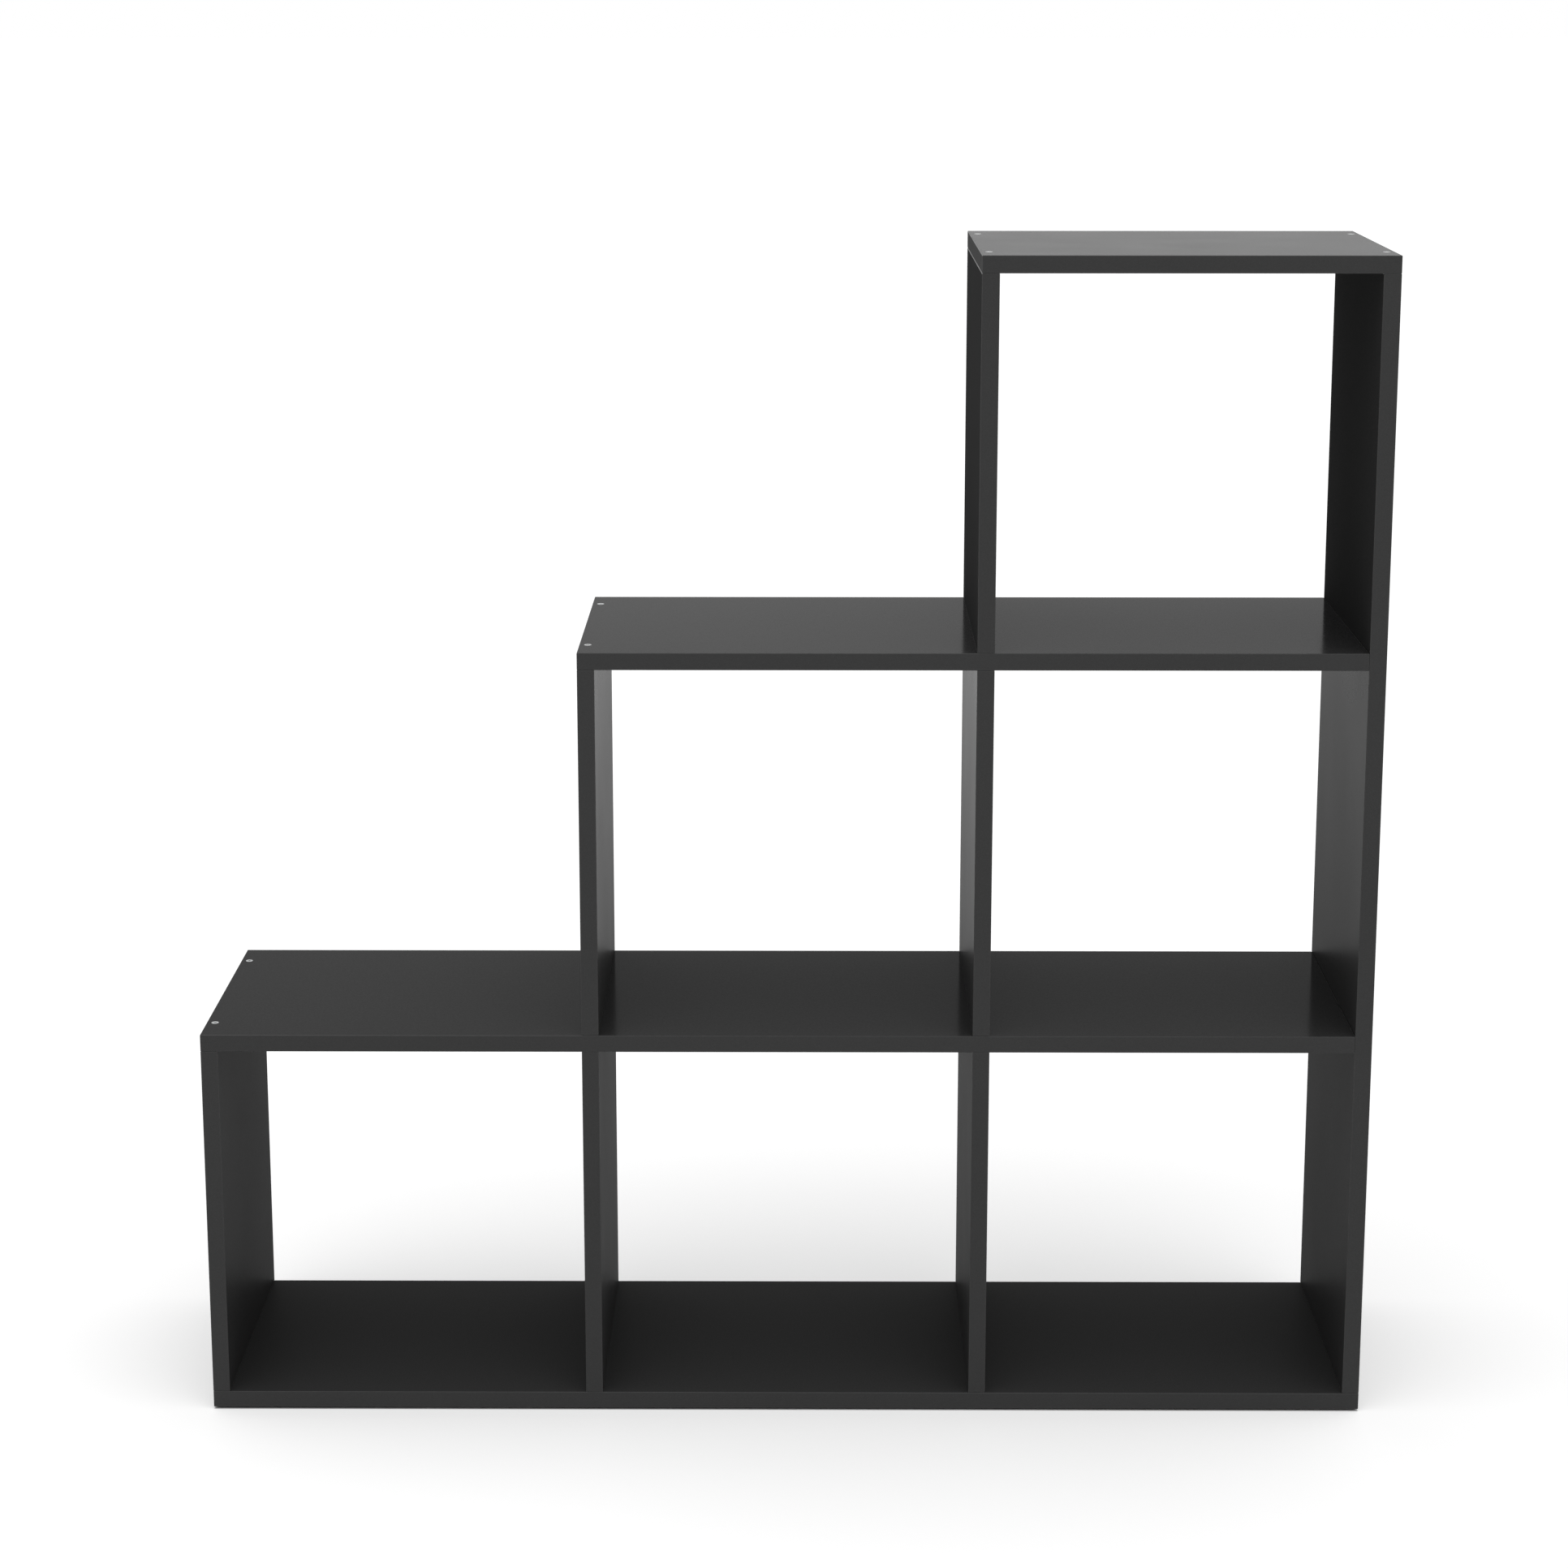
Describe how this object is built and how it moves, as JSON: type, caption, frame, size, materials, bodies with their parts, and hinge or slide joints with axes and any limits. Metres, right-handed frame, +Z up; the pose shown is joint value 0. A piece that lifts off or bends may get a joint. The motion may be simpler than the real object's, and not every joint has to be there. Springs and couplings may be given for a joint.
{
  "type": "staircase bookshelf",
  "caption": "Free-standing stepped bookshelf of dark faced boards with open cells rising to one side, screwed and doweled together.",
  "frame": {"origin": "on the floor, below the middle of the shelf's width and depth", "axes": "+X towards the tall side, so the steps rise towards +X; +Y from the front edges to the back edges; +Z up"},
  "size_m": [1.0988, 0.2954, 1.1008],
  "materials": {
    "board_laminate": "satin",
    "zinc_steel": "satin",
    "beech": "matte",
    "glide_plastic": "matte"
  },
  "bodies": {
    "root": {"base_board": "board_laminate", "lower_shelf": "board_laminate", "middle_shelf": "board_laminate", "top_board": "board_laminate", "low_side_panel": "board_laminate", "lower_left_divider": "board_laminate", "lower_right_divider": "board_laminate", "middle_side_panel": "board_laminate", "middle_divider": "board_laminate", "top_side_panel": "board_laminate", "tall_side_panel": "board_laminate", "screw_base_to_low_side_panel_front": "zinc_steel", "screw_base_to_low_side_panel_back": "zinc_steel", "screw_base_to_lower_left_divider_front": "zinc_steel", "screw_base_to_lower_left_divider_back": "zinc_steel", "screw_base_to_lower_right_divider_front": "zinc_steel", "screw_base_to_lower_right_divider_back": "zinc_steel", "screw_base_to_tall_side_panel_front": "zinc_steel", "screw_base_to_tall_side_panel_back": "zinc_steel", "screw_lower_shelf_to_low_side_panel_front": "zinc_steel", "screw_lower_shelf_to_low_side_panel_back": "zinc_steel", "screw_lower_shelf_to_lower_left_divider_front": "zinc_steel", "screw_lower_shelf_to_lower_left_divider_back": "zinc_steel", "screw_lower_shelf_to_lower_right_divider_front": "zinc_steel", "screw_lower_shelf_to_lower_right_divider_back": "zinc_steel", "screw_middle_shelf_to_middle_side_panel_front": "zinc_steel", "screw_middle_shelf_to_middle_side_panel_back": "zinc_steel", "screw_middle_shelf_to_middle_divider_front": "zinc_steel", "screw_middle_shelf_to_middle_divider_back": "zinc_steel", "screw_top_board_to_top_side_panel_front": "zinc_steel", "screw_top_board_to_top_side_panel_back": "zinc_steel", "screw_top_board_to_tall_side_panel_front": "zinc_steel", "screw_top_board_to_tall_side_panel_back": "zinc_steel", "screw_tall_side_to_lower_shelf_front": "zinc_steel", "screw_tall_side_to_lower_shelf_back": "zinc_steel", "screw_tall_side_to_middle_shelf_front": "zinc_steel", "screw_tall_side_to_middle_shelf_back": "zinc_steel", "dowel_lower_shelf_to_middle_side_panel_front": "beech", "dowel_lower_shelf_to_middle_side_panel_back": "beech", "dowel_lower_shelf_to_middle_divider_front": "beech", "dowel_lower_shelf_to_middle_divider_back": "beech", "dowel_middle_shelf_to_top_side_panel_front": "beech", "dowel_middle_shelf_to_top_side_panel_back": "beech", "glide_under_low_side_panel_front": "glide_plastic", "glide_under_low_side_panel_back": "glide_plastic", "glide_under_lower_left_divider_front": "glide_plastic", "glide_under_lower_left_divider_back": "glide_plastic", "glide_under_lower_right_divider_front": "glide_plastic", "glide_under_lower_right_divider_back": "glide_plastic", "glide_under_tall_side_panel_front": "glide_plastic", "glide_under_tall_side_panel_back": "glide_plastic"}
  },
  "joints": []
}
